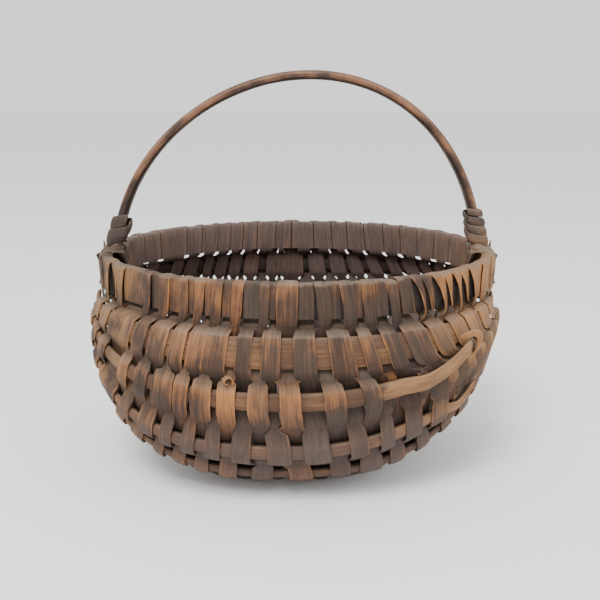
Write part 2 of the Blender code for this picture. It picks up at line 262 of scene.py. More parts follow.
def shaved(frames, square, seed, look, knife=0.12, count=16):
    """Stations of a bar along a list of (point, across, out, half width, half thickness); look
    gives tone, wear with a painted highlight, and painted shade from a place and its depth in the bar."""
    stations = []
    run = 0.0
    last = frames[0][0]
    for point, across, out, half_w, half_t in frames:
        run += (point - last).length
        last = point
        station = []
        for w, t in round_section(half_w, half_t, square, count):
            cut = knife * noise.noise(Vector((run / MARK_LONG, w / MARK_WIDE + seed, t / MARK_DEEP)))
            place = point + across * w * (1 + cut / half_w) + out * t * (1 + cut / half_t)
            tone, wear_and_highlight, painted_shade = look(place, t)
            age = (tone, wear_and_highlight, min(abs(w) / half_w, 1.0), painted_shade)
            station.append((place, Vector((run, w, t + GRAIN_APART * seed)), age))
        stations.append(station)
    return stations


def linear(code):
    """sRGB hex to the linear colour that a shader socket takes."""
    parts = [int(code[i:i + 2], 16) / 255 for i in (1, 3, 5)]
    return (*[p / 12.92 if p <= 0.04045 else ((p + 0.055) / 1.055) ** 2.4 for p in parts], 1.0)


def add(tree, kind, inputs=(), **settings):
    """Adds a shader node; inputs are (socket, value or output socket) pairs."""
    made = tree.nodes.new("ShaderNode" + kind)
    for key, value in settings.items():
        setattr(made, key, value)
    for socket, value in inputs:
        if isinstance(value, bpy.types.NodeSocket):
            tree.links.new(value, made.inputs[socket])
        else:
            made.inputs[socket].default_value = value
    return made


# Dark of the pores, also the near black of the painted shade
PORE_AND_SHADE = "#1a1310"
TAN = "#a37e56"
GREYED = "#6a5a54"
# Millimetres from the middle: the wood is tan towards both ears, and grey behind and underneath
TAN_FROM, TAN_FULL = 80, 130
GREY_FROM_Y, GREY_FULL_Y = -10, 40
GREY_FROM_Z, GREY_FULL_Z = 80, 30
STAIN = 38.0     # stains to the metre


def riven_oak(name, deep, mid, wear_and_highlight, dust, dusty=0.6, wear=0.0, sides=0.4, rough=0.68, lines=1.0,
              even=0.0, greyed=0.0):
    """Oak split along its grain and left bare: blotched with age, with long fibres and dark pores,
    paler bends and edges, partly worn and partly a painted highlight, painted shade in the crevices
    and on faces turned from the light, and dust on whatever faces up. Even evens out the blotches,
    lines sets how coarse the fibres are, and sides and greyed set how much the wood tans towards the
    ears and greys behind and underneath."""
    mat = bpy.data.materials.new(name)
    mat.use_nodes = True
    tree = mat.node_tree
    shader = tree.nodes["Principled BSDF"]

    def mix(a, b, part):
        made = add(tree, "Mix", data_type="RGBA")
        for socket, value in ((made.inputs[0], part), (made.inputs[6], a), (made.inputs[7], b)):
            if isinstance(value, bpy.types.NodeSocket):
                tree.links.new(value, socket)
            else:
                socket.default_value = value
        return made.outputs[2]

    def sums(kind, *values):
        return add(tree, "Math", list(enumerate(values)), operation=kind).outputs[0]

    def total(*parts):
        """Weighted sum of (weight, value) pairs."""
        made = 0.0
        for weight, value in parts:
            made = sums("MULTIPLY_ADD", value, weight, made)
        return made

    def spread(value, low, high, top=1.0, bottom=0.0):
        return add(tree, "MapRange", [(0, value), (1, low), (2, high), (3, bottom), (4, top)]).outputs[0]

    def clouds(vector, scale, detail):
        """Noise that uses the whole range from 0 to 1."""
        made = add(tree, "TexNoise", [("Vector", vector), ("Scale", scale), ("Detail", detail)])
        return spread(made.outputs[0], 0.34 - even, 0.66 + even)

    def fibres(along, across, detail):
        """Noise drawn out along the grain; along and across are millimetres."""
        scale = Vector((1 / along, 1 / across, 1 / across)) / MM
        return clouds(add(tree, "Mapping", [("Vector", grain), ("Scale", scale)]).outputs[0], 1.0, detail)

    grain = add(tree, "Attribute", attribute_name="grain").outputs["Vector"]
    age = add(tree, "Attribute", attribute_name="age").outputs
    tone, wear_and_highlight_level, edge = add(tree, "SeparateColor", [(0, age["Color"])]).outputs[:3]
    place = add(tree, "TexCoord").outputs["Object"]
    streak = fibres(45, 1.8 * lines, 4.0)
    fine = fibres(20, 0.4 * lines, 3.0)
    blotch = fibres(14, 7, 3.0)
    stain = clouds(place, STAIN, 3.0)

    level = total((0.5, tone), (0.35, wear_and_highlight_level), (0.35, stain), (0.2, blotch), (0.28, streak))
    colour = mix(linear(deep), linear(mid), spread(level, 0.48, 1.35))
    # Paler bends and edges: partly wear, partly a painted highlight on the upper faces of bends and on splint
    # edges that catch the light
    edge_wear_and_highlight = sums("MULTIPLY", sums("POWER", edge, 12.0), stain)
    wear_and_highlight_mask = total((0.6, wear_and_highlight_level), (0.5, tone), (0.25, blotch), (0.35, stain), (0.25, streak), (0.7, edge_wear_and_highlight))
    colour = mix(colour, linear(wear_and_highlight), spread(wear_and_highlight_mask, 1.0 - wear, 1.8 - wear))
    x, y, z = add(tree, "SeparateXYZ", [(0, place)]).outputs[:3]
    end = spread(sums("ABSOLUTE", x), TAN_FROM * MM, TAN_FULL * MM, sides)
    tanned = spread(total((0.7, stain), (0.3, blotch)), 0.2, 0.75)
    colour = mix(colour, linear(TAN), sums("MULTIPLY", end, tanned))
    up = add(tree, "SeparateXYZ", [(0, add(tree, "NewGeometry").outputs["Normal"])]).outputs[2]
    film = sums("MULTIPLY", spread(tone, 0.0, 0.9, 0.0, 0.25), spread(stain, 0.2, 1.0, 0.3, 1.0))
    settled = sums("MULTIPLY", spread(up, 0.1, 0.65, dusty), spread(stain, 0.0, 0.7, 1.0, 0.35))
    colour = mix(colour, linear(dust), sums("MAXIMUM", film, settled))
    behind = spread(y, GREY_FROM_Y * MM, GREY_FULL_Y * MM, greyed)
    below = spread(z, GREY_FROM_Z * MM, GREY_FULL_Z * MM, 0.6 * greyed)
    colour = mix(colour, linear(GREYED), sums("MAXIMUM", behind, below))
    colour = mix(colour, linear(PORE_AND_SHADE), spread(fine, 0.55, 0.0, 0.5))
    # Painted shade: the fourth channel of age darkens crevices, inner faces and lower faces towards near
    # black
    colour = mix(colour, linear(PORE_AND_SHADE), spread(total((1.0, age["Alpha"]), (0.35, stain)), 0.2, 1.3, 0.93))
    tree.links.new(colour, shader.inputs["Base Color"])
    shader.inputs["Specular IOR Level"].default_value = 0.2
    tree.links.new(spread(blotch, 0.0, 1.0, rough + 0.1, rough - 0.1), shader.inputs["Roughness"])
    relief = total((0.3, fine), (0.35, streak), (0.5, blotch))
    bump = add(tree, "Bump", [("Height", relief), ("Strength", 0.6), ("Distance", 0.25 * MM)])
    tree.links.new(bump.outputs[0], shader.inputs["Normal"])
    return mat


def finish_piece(obj, mat, slot, *nodes):
    """Gives a piece its wood and lets it stand for its solids, where it has any."""
    obj.data.materials.append(mat)
    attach(obj, "root")
    if nodes:
        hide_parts(*nodes)


# Never rubbed and never oiled, so it has turned an even grey
grey_oak = riven_oak("riven_oak_grey", "#2b2623", "#544c46", "#6b6157", "#6a665f", dusty=0.5, sides=0.1)
RIM_STEPS = 120
RIM_SQUARE, RIM_TONE, RIM_WORN = 5.0, 0.5, 0.4
SHADE_FROM_EAR, RIM_PAINTED_SHADE = 35, 0.85         # painted shade where the splints cover it: none at the ears, full from about here on
frames = []
for side in (1, -1):
    shares = [-1 + 2 * i / RIM_STEPS for i in range(1, RIM_STEPS)]
    for u in (shares if side > 0 else reversed(shares)):
        point, across, out, row, half_w, half_t = frame_at(0, side, u=u)
        frames.append((point, Vector((0, 0, 1)), out, half_w, half_t))
stations = shaved(frames, RIM_SQUARE, 3.0, lambda place, deep: (
    RIM_TONE, RIM_WORN, min(abs(place.y) / SHADE_FROM_EAR, RIM_PAINTED_SHADE)))
rim = bar("rim_hoop_oak", stations, hoop=True)
finish_piece(rim, grey_oak, "oak_rim", "rim_hoop")

# The handle hoop: one long riven stave, shaved round at its edges and bent to a full hoop.
# The upper half is the handle, polished brown by hands; the lower half is the spine rib.
HANDLE_RISE, HANDLE_LEAN = 129.0, 9.0
HANDLE_SLIM = 0.5                      # so much slimmer is each half of it at the top
SPINE_STEPS, HANDLE_STEPS = 100, 120
HANDLE_SQUARE, HANDLE_CORNERS = 3.4, 20


def handle_point(angle):
    """Middle of the handle; 0 is the right ear, pi the left one."""
    rise = math.sin(angle)
    x = MEMBERS[SPINE][2] * math.cos(angle) + HANDLE_LEAN * rise ** 2
    return Vector((x, 0, RIM_Z + HANDLE_RISE * rise))


def handle_frame(angle):
    """Point, across and outward direction of the handle."""
    along = (handle_point(angle + 0.02) - handle_point(angle - 0.02)).normalized()
    return handle_point(angle), Vector((0, 1, 0)), Vector((along.z, 0, -along.x))


def handle_wear_and_light(place, deep):
    """Rubbed by hands and paler as a painted highlight on its outer face, darker with painted shade on its
    inner one.
    """
    return 0.45, 0.8 if deep > 1.5 else 0.25, 0.25 * (deep < -1)


frames = []
for i in range(SPINE_STEPS + 1):
    point, across, out, row, half_w, half_t = frame_at(SPINE, 1, u=-1 + 2 * i / SPINE_STEPS)
    out = Vector((math.copysign(1, point.x), 0, 0)) if i in (0, SPINE_STEPS) else out
    frames.append((point, Vector((0, 1, 0)), out, half_w, half_t))
for i in range(1, HANDLE_STEPS):
    angle = math.pi * i / HANDLE_STEPS
    narrow = HANDLE_SLIM * math.sin(angle) ** 2
    frames.append((*handle_frame(angle), HOOP_WIDE / 2 - narrow, HOOP_THICK / 2))
# Polished by hands: redder, smoother, with long coarse lines
handle_oak = riven_oak("riven_oak_handled", "#231713", "#523729", "#8d6145", "#75665a",
                       dusty=0.4, wear=0.15, sides=0.1, rough=0.5, lines=1.4)
stations = shaved(frames, HANDLE_SQUARE, 7.0, handle_wear_and_light, count=HANDLE_CORNERS)
hoop = bar("handle_hoop_oak", stations, hoop=True)
finish_piece(hoop, handle_oak, "oak_handle", "handle_hoop")

# Six ribs on each side, riven, shaved round and pointed, their tips pushed in under the ears.
# The first is a wide flat stave; two right ends in front have slipped out and lie on the weave.
# Widths of the splints that are woven on them, from left to right:
SPLINTS = (
    9.0, 9.0, 8.5, 9.0, 9.0, 18.0, 7.0, 6.6, 7.4, 8.0, 4.8, 5.4, 5.8, 5.2, 5.6, 5.8, 7.0, 9.0, 6.2, 4.2,
    11.8, 8.8, 7.6, 7.5, 7.6, 6.0, 6.8, 8.0, 6.8, 9.6, 7.0, 7.4, 9.2, 7.6, 7.2, 9.0, 8.0, 9.2, 8.6, 9.2, 9.4,
)
WEAVE_END = 0.84     # share of the rim's half where the first and last splint end
ROWS = len(SPLINTS)
bounds = [0.0]
for splint_width in SPLINTS:
    bounds.append(bounds[-1] + splint_width)
bounds = [WEAVE_END * (2 * s / bounds[-1] - 1) for s in bounds]
FRAMES = {(level, side, i): frame_at(level, side, b=b)
          for level in range(SPINE + 1) for side in (1, -1) for i, b in enumerate(bounds)}
# Of each slipped end: the first row that it misses, the shares where it ends and where it leaves the
# weave, and how far it strays up and out
SLIPPED = {2: (26, 0.56, 0.322, 14.0, 6.8), 3: (30, 0.59, 0.482, 12.0, 5.2)}
LOOSE_THIN = 0.45     # share of its half thickness that is shaved off


def stray(k, u):
    """How far up and out a slipped rib end lies off its own line."""
    end, start, up, out = SLIPPED[k][1:]
    t = max((u - start) / (end - start), 0.0)
    rise, lift = min(t, 1.0), min(3.0 * t, 1.0)
    return up * rise * rise, out * lift * lift * (3 - 2 * lift)


RIB_TIPS = (0.90, 0.945)               # shares where ribs with an even and an odd number end
TIP_FROM, TIP_STEPS = 0.85, 4
BLUNT, POINTED = 0.45, 0.02            # how blunt a tip is, and over which share it is pointed
RIB_TONE, RIB_PAINTED_SHADE, RIB_KNIFE = 0.5, 0.8, 0.2
LOOSE_TIPS = {}
FRESH_FROM = 52.0     # right of this the slipped ribs were in the weave and have kept their pale colour
# Covered by the weave for most of its life: browner and more even than the rest
rib_oak = riven_oak("riven_oak_rib", "#3d271b", "#674630", "#a2784e", "#66594d",
                    dusty=0.5, sides=0.6, lines=0.8, even=0.06, greyed=0.6)
for side, half_name in ((1, "front"), (-1, "back")):
    for k in range(1, SPINE):
        tip = RIB_TIPS[k % 2]
        slipped = side > 0 and k in SLIPPED
        right_tip = SLIPPED[k][1] if slipped else tip
        stops = [(-tip + (tip - TIP_FROM) * i / TIP_STEPS, None) for i in range(TIP_STEPS)]
        for low, high in zip(bounds, bounds[1:]):
            for b in (low, low + (high - low) * 0.5):
                if -WEAVE_END < row_share(k, b) < right_tip - 0.01:
                    stops.append((row_share(k, b), b))
        first = max(stops[-1][0], 0.0)
        stops += [(first + (right_tip - first) * (i + 1) / TIP_STEPS, None) for i in range(TIP_STEPS)]
        frames = []
        for share, b in stops:
            made = frame_at(k, side, b=b) if b is not None else frame_at(k, side, u=share)
            point, across, out, row, half_w, half_t = made
            if slipped:
                up, off = stray(k, share)
                thin = LOOSE_THIN * half_t * off / SLIPPED[k][4]
                point = point - across * up + out * (off - thin)
                half_t -= thin
            from_tip = min(abs(share + tip), abs(right_tip - share))
            point_down = min(1.0, BLUNT + from_tip / POINTED)
            frames.append((point, across, out, half_w * point_down, half_t * point_down))
        square = 3.2 if k == 1 else 2.5
        rest = 0.15 if k == 2 else 0.4
        fresh = 1.0 if slipped else rest
        # Painted shade on the inner face of each rib
        stations = shaved(frames, square, 11.0 * k + side, lambda place, deep: (
            RIB_TONE, fresh if place.x > FRESH_FROM else rest, RIB_PAINTED_SHADE * (deep < 0)), RIB_KNIFE)
        rib = bar("%s_rib_%d_oak" % (half_name, k), stations)
        finish_piece(rib, rib_oak, "oak_rib", "%s_rib_%d" % (half_name, k))
        if slipped:
            LOOSE_TIPS[k] = frames[-1], (frames[-1][0] - frames[-3][0]).normalized()

# The weavers: flat splints, each hooked over the front rim, woven under the basket and hooked over
# the back rim. Split from the same oak, they vary in width and stand a little apart where they bend.
# A row is one splint, and its levels are the members that it crosses, from front rim to back rim.
SPLINT = 1.1
GAP = 0.35
LEVELS = 2 * SPINE
RIM_SLIDE, RIB_SLIDE = 0.55, 0.55      # how much of its slant a splint keeps while it bears on a member
SLIDE_MOST = 0.24                      # and the steepest that it may be on the rim
SLIDE_NONE, SLIDE_FADE = 0.9, 0.12     # at this share it bears straight, and slants less from here on
OVERSHOOT = 1.12                       # a splint that lies outside turns in a little past the rib
APART, APART_LEANING = 0.1, 0.3        # half the gap between two splints, and what it gains as they lean
LEAN_MOST = 0.8
# How far a splint spreads over the slots beside it where it lies on a front rib: left and right, in
# slots, by level and by the number of the splint
SPREAD = {
    1: {8: (0.2, 0.25), 10: (0.45, 0.1), 12: (0.3, 0.35), 14: (0.5, 0.3), 16: (0.75, 0.4),
        18: (0.0, -0.15), 20: (0.6, 0.7), 22: (0.3, -0.05), 24: (0.2, 0.4), 26: (0.05, 0.2),
        28: (0.1, 0.1), 30: (0.3, 0.25), **{number: (0.38, 0.33) for number in range(32, 41, 2)}},
    2: {11: (0.85, 0.7), 13: (0.3, 0.1), 15: (0.55, 0.3), 17: (0.2, 0.1), 19: (0.4, 0.2),
        21: (-0.2, 0.05), 23: (-0.1, 0.25), 25: (-0.25, 0.2)},
    3: {18: (0.2, -0.3), 20: (0.4, 1.0), 22: (0.3, 0.0), 24: (-0.1, 0.2)},
    4: {19: (0.4, 0.1), 21: (-0.3, 0.15), 23: (-0.1, 0.25), 25: (0.2, 0.2)},
}
FIRST_LEFT_SPREAD, FRONT_SPREAD = (0.2, 0.15), (0.08, 0.06)
RIM_SPREAD, INSIDE_SPREAD, BACK_SPREAD = 0.1, 0.25, 0.3
# Share of its width that a splint has lost just below the front rim, by its number; the others have
# lost the least, and by chance up to so much more
NARROW = {
    1: 0.05, 2: 0.15, 3: 0.6, 4: 0.6, 5: 0.5, 7: 0.2, 9: 0.15, 17: 0.3, 19: 0.3, 21: 0.2, 29: 0.3,
    30: 0.25, 31: 0.75, 32: 0.7, 33: 0.7, 34: 0.75, 35: 0.75, 36: 0.7, 37: 0.6, 38: 0.25, 39: 0.1, 40: 0.05,
}
NARROW_LEAST, NARROW_MORE, NARROW_BACK = 0.08, 0.3, 0.1
TWIST, TWIST_INNER = 2.6, -0.4         # narrow rows turn on edge: in on the side of the ear, else out
DRAWN = 5.0                            # and their lower ends are drawn to the right
FAN, FAN_FROM, FAN_FULL = 0.05, 0.68, 0.86     # the tops of the outermost rows are drawn to the ears
STANDS = {9: 0.4, 13: 0.4, 19: 0.3, 21: 0.9, 24: 0.5, 28: 0.5, 31: 0.6}     # rise above the rim, by number
# How the other rows differ by chance: in their rise above the rim, in how far they stand off it, in
# how far their ends wander aside, and in how far they stand off the ribs
RIM_HIGH, HIGH_BY, OFF_BY, ASIDE_BY, STAND_BY = 0.35, 1.1, 1.1, 3.0, 0.9
RIM_OFF = (-0.1, 0.9)                  # rows whose end hangs outside the rim, and inside it
PULLED, PULLED_LOW = -0.25, -0.3       # pulled at least this tight on ribs 1 to 3, and so on the lowest
MISSED_BY = 0.9                        # share of a slipped end's own stray that the missed splints keep


def ramp(value, low, high):
    part = min(max((value - low) / (high - low), 0.0), 1.0)
    return part * part * (3 - 2 * part)


def slant(k, b):
    """How much a row edge leans along member k on its way to the next members."""
    point = member_at(k, row_share(k, b))
    along = (member_at(k, row_share(k, b) + 0.01) - point).normalized()
    near = [i for i in (k - 1, k + 1) if 0 <= i <= SPINE]
    return max(abs((member_at(i, row_share(i, b)) - point).normalized().dot(along)) for i in near)


def spread_of(level, row, outside):
    """Left and right spread of a row at a level."""
    if level in (0, LEVELS):
        return (RIM_SPREAD, RIM_SPREAD)
    if not outside:
        return (INSIDE_SPREAD, INSIDE_SPREAD)
    if level > SPINE:
        return (BACK_SPREAD, BACK_SPREAD)
    usual = FIRST_LEFT_SPREAD if level == 1 and row < ROWS / 2 else FRONT_SPREAD
    return SPREAD.get(level, {}).get(row + 1, usual)


def row_edge(level, row, right, full, squeeze=0.0):
    """Frame of one edge of a row where it crosses a level, spread over part of the next slot."""
    k, side = (level, 1) if level <= SPINE else (LEVELS - level, -1)
    low, high = bounds[row], bounds[row + 1]
    pitch = (FRAMES[k, side, row + 1][0] - FRAMES[k, side, row][0]).length / (high - low)
    lean = min(slant(k, bounds[row + right]), LEAN_MOST)
    spare = (APART + APART_LEANING * lean) / math.sqrt(1 - lean * lean) / pitch - full * (high - low)
    spare += squeeze * (high - low) / 2
    return frame_at(k, side, b=high - spare if right else low + spare)


def crossing(level, row, right):
    """An edge of a row where it crosses a level: whether the row is outside there, the point, the
    directions across and out of the member, its half width, how far from its middle the splint lies,
    and how far the edge slides aside on its way across."""
    outside = (level % 2 == 0) == (row % 2 == 0)
    full = spread_of(level, row, outside)[right]
    point, across, out, way, half_w, half_t = row_edge(level, row, right, full)
    flat = (way - out * way.dot(out)).normalized()
    return outside, point, across, out, half_w, half_t + GAP + SPLINT / 2, flat / flat.dot(across) - across


def rim_hook(level, row, right, wobble):
    """Stations of one edge of a row where it hooks over the front or the back rim: from its end, up
    one face of the rim and down the other, on the way to the first rib."""
    outer_row, point, across, out, half_w, lift, slide = crossing(level, row, right)
    front = level == 0
    share = bounds[row + right]
    slide *= min(RIM_SLIDE, min(SLIDE_MOST, EDGE - abs(share)) / max(slide.length, 0.01))
    down = (across + slide) * (1 if front else -1)
    tall = half_w + GAP + SPLINT / 2 + STANDS.get(row + 1, RIM_HIGH + HIGH_BY * wobble[0])
    off = lift + RIM_OFF[outer_row] + OFF_BY * wobble[1 + right]
    fan = FAN * math.copysign(ramp(abs(share), FAN_FROM, FAN_FULL), row - ROWS / 2) * front
    rim_point, _, rim_out = frame_at(0, 1 if front else -1, u=share + fan)[:3]
    top = rim_point - down * tall
    squeeze, twist, aside = NARROW_BACK, 0.0, Vector()
    if front:
        squeeze = NARROW.get(row + 1, NARROW_LEAST + NARROW_MORE * abs(wobble[6]))
        twist = TWIST * squeeze * (TWIST_INNER if (row > ROWS / 2) == (right == 1) else 1)
        ear_way = (member_at(0, share + 0.01) - member_at(0, share)).normalized()
        aside = ear_way * (DRAWN * squeeze * (row > ROWS / 2) + ASIDE_BY * wobble[4])
    low = row_edge(level, row, right, RIM_SPREAD, squeeze)[0] - point + aside
    # Painted light and wear: the inner face of the back rim, which faces the light, is paler than that of the
    # front rim; the top is palest, partly worn and partly a painted highlight; the ends get a little painted
    # shade
    wear_and_highlight = 0.2 if front else 0.55
    inner, outer = point - out * lift, point + low + out * (off + twist)
    over = [
        (top - rim_out * lift, 0.2 + wear_and_highlight, 0.0, 2.0), (top + rim_out * off, 0.75, 0.0, 1.8),
        (point + low * 0.7 + out * (off + twist * 0.8) - down * half_w * 0.3, 0.45, 0.0, 4.0),
    ]
    if outer_row:
        hook = [(inner + down * (half_w - 1.0), wear_and_highlight, 0.1, 3.0), *over,
                (outer + down * (half_w - 2.0), 0.2, 0.2, 4.0)]
    else:
        hook = [(outer + down * (half_w - 1.2), 0.3, 0.2, 3.0), *over[::-1],
                (inner + down * (half_w + 1.3), wear_and_highlight, 0.2, 4.0)]
    return hook if front else hook[::-1]


def rib_crossing(level, row, right, wobble):
    """The two stations of one edge of a row where it crosses a rib or the spine."""
    outside, point, across, out, half_w, lift, slide = crossing(level, row, right)
    k = min(level, LEVELS - level)
    share = bounds[row + right]
    missed = level in SLIPPED and row >= SLIPPED[level][0]
    slide *= (1.0 if k == 1 else RIB_SLIDE) * min(1.0, (SLIDE_NONE - abs(share)) / SLIDE_FADE)
    reach = (across + slide) * (half_w + GAP)
    stand = PULLED_LOW if k == LOWEST else STAND_BY * wobble[2 * level + right]
    lift = lift + (min(stand, PULLED) if k in (1, 2, 3) else stand) if outside and not missed else -lift
    if missed:
        lift += MISSED_BY * stray(level, row_share(level, share))[1]
    # Wear with a painted highlight, and painted shade: on the upper face, which is seen best, on the lower
    # one, and where the row is inside, darker inside the front than inside the back
    looks = ((1.0, 0.0), (0.3, 0.12)) if k < 3 else ((0.6, 0.0), (0.3, 0.05))
    inside = (0.2, 0.5) if level < SPINE else (0.35, 0.05)
    looks = looks if outside else (inside, inside)
    cut = 1.0 if outside else 2.6
    return [(point - reach + out * lift, *looks[level > SPINE], cut),
            (point + reach * (OVERSHOOT if outside else 1.0) + out * lift, *looks[level <= SPINE], cut + 0.6)]


def row_side(row, right):
    """One edge of a row from the front rim to the back one, as a list of stations for each level:
    place, how worn with a painted highlight, how much painted shade, and how much of the corner is
    rounded off."""
    wobble = [noise.noise(Vector((3.7 * row, 0.7 * i, 9.1))) for i in range(2 * LEVELS + 2)]
    between = [rib_crossing(level, row, right, wobble) for level in range(1, LEVELS)]
    return [rim_hook(0, row, right, wobble), *between, rim_hook(LEVELS, row, right, wobble)]


# Millimetres missing on each side where a splint passes its neighbours just below these levels; the
# light falls in through the holes that this leaves in the back
SLACK = {0: 0.3, 1: 0.5, 2: 0.3, 10: 0.4, 11: 0.9, 12: 1.5, 13: 1.2}
TIGHT_ROWS = 5     # so many rows at each ear have none below the front rim
# Shares of the way between two levels where a splint is narrowed, passes, and is wide again
PASSES, LATE_LEVEL, LATE_PASSES = (0.38, 0.5, 0.62), LEVELS - 2, (0.45, 0.72, 0.9)
# Painted shade beside that place and in it, where the splint passes its neighbours, and what is left of that
# below the first rib
SHADE_BESIDE, SHADE_PASSING, SHADE_LOWER = 0.45, 0.8, 0.65
WIDE_BETWEEN = 0.97     # share of its width beside that place


def row_path(row):
    """Both edges of a row, with stations between the levels: there it crosses its neighbours, and
    from there on it is as wide as on the next rib."""
    sides = [row_side(row, right) for right in (0, 1)]
    edges = ([], [])
    for level in range(LEVELS + 1):
        for edge, levels in zip(edges, sides):
            edge += levels[level]
        if level == LEVELS:
            break
        ends = [(levels[level][-1], levels[level + 1][0]) for levels in sides]
        plain = [[row_edge(i, row, right, 0.0)[0]
                  - row_edge(i, row, right, spread_of(i, row, (i % 2 == 0) == (row % 2 == 0))[right])[0]
                  for i in (level, level + 1)] for right in (0, 1)]
        slack = SLACK.get(level, 0.0) * (level > 0 or TIGHT_ROWS <= row < ROWS - TIGHT_ROWS)
        middles = [(a[0] + b[0] + slim_a + slim_b) / 2 for (a, b), (slim_a, slim_b) in zip(ends, plain)]
        wide = (middles[1] - middles[0]).normalized()
        centres = [(left[0] + right[0]) / 2 for left, right in zip(*ends)]
        parts = LATE_PASSES if level == LATE_LEVEL else PASSES
        for sign, edge, middle, (a, b) in zip((1, -1), edges, middles, ends):
            middle = middle + (centres[1] - centres[0]) * (parts[1] - 0.5)
            for part, width in zip(parts, (a[0] - centres[0], None, b[0] - centres[1])):
                place = middle + wide * sign * slack
                if width:
                    place = centres[0].lerp(centres[1], part) + width * WIDE_BETWEEN
                wear_and_highlight, painted_shade = (a[i] + (b[i] - a[i]) * part for i in (1, 2))
                # painted shade where it passes its neighbours
                crevice_shade = (SHADE_BESIDE if width else SHADE_PASSING) * (1.0 if level < 2 else SHADE_LOWER)
                edge.append((place, wear_and_highlight, max(painted_shade, crevice_shade), 0.8))
    return edges


BEND_MOST = 0.47     # share of a stretch that the bend at its end may take up
# Between two bends a splint gets one more station for each step of its length, up to the most
STEP_LONG, STEPS_MOST = 2.5, 3


def bent(left, right, steps=5):
    """Rounds the corners of both edges alike: (left place, right place, worn with a painted highlight,
    painted shade) in order.
    """
    middle = [(a[0] + b[0]) / 2 for a, b in zip(left, right)]
    made = []
    last = len(left) - 1
    for i in range(last + 1):
        if i in (0, last):
            made.append((left[i][0], right[i][0], *left[i][1:3]))
            continue
        cut = left[i][3]
        before = min(cut / max((middle[i] - middle[i - 1]).length, 0.01), BEND_MOST)
        after = min(cut / max((middle[i + 1] - middle[i]).length, 0.01), BEND_MOST)
        sharp = steps if cut > 2 else 2
        for j in range(sharp + 1):
            t = j / sharp
            weights = ((1 - t) ** 2 * before, 1 - (1 - t) ** 2 * before - t ** 2 * after, t ** 2 * after)
            places = []
            for side in (left, right):
                trio = zip((side[i - 1][0], side[i][0], side[i + 1][0]), weights)
                places.append(sum((p * w for p, w in trio), Vector()))
            look = [sum(left[i + d][c] * w for d, w in zip((-1, 0, 1), weights)) for c in (1, 2)]
            made.append((*places, *look))
    full = [made[0]]
    for a, b in zip(made, made[1:]):
        gap = ((a[0] + a[1]) / 2 - (b[0] + b[1]) / 2).length
        extra = min(int(gap / STEP_LONG), STEPS_MOST)
        for j in range(1, extra + 2):
            t = j / (extra + 1)
            full.append((a[0].lerp(b[0], t), a[1].lerp(b[1], t), *[a[i] + (b[i] - a[i]) * t for i in (2, 3)]))
    return full


ACROSS = (-1.0, -0.9, -0.5, -0.12, 0.0, 0.12, 0.5, 0.9, 1.0)
RAGGED_LONG, TURN_LONG, WAVE_WIDE = 12, 30, 2.5     # how long its frays, turns and ripples are
TURN, RIPPLE, FEATHERED = 0.4, 0.25, 0.45      # how much it turns and ripples, and how thin its edges are
SPLINTS_APART = 30                     # like GRAIN_APART, for splints
GROOVE = 0.75                          # depth of the groove inside the back rim
GROOVE_Y, GROOVE_DROP = (30, 50), (13, 10)


def splint(name, path, tone, seed, thick=SPLINT, ragged=0.45, crown=-0.25):
    """A flat strip of split wood along a path of (left, right, worn with a painted highlight, painted
    shade); a groove down its middle parts it in two inside the back rim, and is painted dark as shade."""
    stations = []
    run = 0.0
    count = len(path)
    for i, (a, b, wear_and_highlight, painted_shade) in enumerate(path):
        before, after = path[max(i - 1, 0)], path[min(i + 1, count - 1)]
        along = (after[0] + after[1] - before[0] - before[1]).normalized()
        middle = (a + b) / 2
        if i:
            run += (middle - (path[i - 1][0] + path[i - 1][1]) / 2).length
        wide = (b - a).normalized()
        up = wide.cross(along).normalized()
        half = (b - a).length / 2
        edges = [ragged * noise.noise(Vector((run / RAGGED_LONG, seed, 5.0 * e))) for e in (-1, 1)]
        turn = TURN * noise.noise(Vector((run / TURN_LONG, seed, 9.0)))
        parted = ramp(middle.y, *GROOVE_Y) * ramp(middle.z, *[RIM_Z - drop for drop in GROOVE_DROP])
        station = []
        for face in (1, -1):
            for share in (ACROSS if face > 0 else ACROSS[::-1]):
                w = share * (half + (edges[0] if share < 0 else edges[1]))
                body = thick / 2 * (1 - FEATHERED * abs(share) ** 8)
                body *= 1 + RIPPLE * noise.noise(Vector((run / RAGGED_LONG, w / WAVE_WIDE, seed)))
                deep = face * body + crown * (1 - share * share) + turn * share
                # the groove, which is also painted dark as shade
                groove_and_shade = parted * (face < 0) * (share == 0)
                deep += GROOVE * groove_and_shade
                wood = Vector((run, w, deep + SPLINTS_APART * seed))
                look = (tone, wear_and_highlight, abs(share), max(painted_shade, groove_and_shade))
                station.append((middle + wide * w + up * deep, wood, look))
        stations.append(station)
    return bar(name, stations)


# How pale each splint has aged, from 0 nearly black to 1 fresh brown
TONES = (
    0.45, 0.45, 0.45, 0.3, 0.4, 0.45, 0.5, 0.35, 0.45, 0.4, 0.45, 0.4, 0.7, 0.45, 0.65, 0.35, 1.0, 0.15,
    0.35, 0.3, 0.65, 0.2, 0.22, 0.28, 0.32, 0.38, 0.38, 0.2, 0.3, 0.3, 0.5, 0.35, 0.6, 0.6, 0.75, 0.75, 0.8,
    0.75, 0.8, 0.8, 0.8,
)
LEAST_WEAR = 0.5
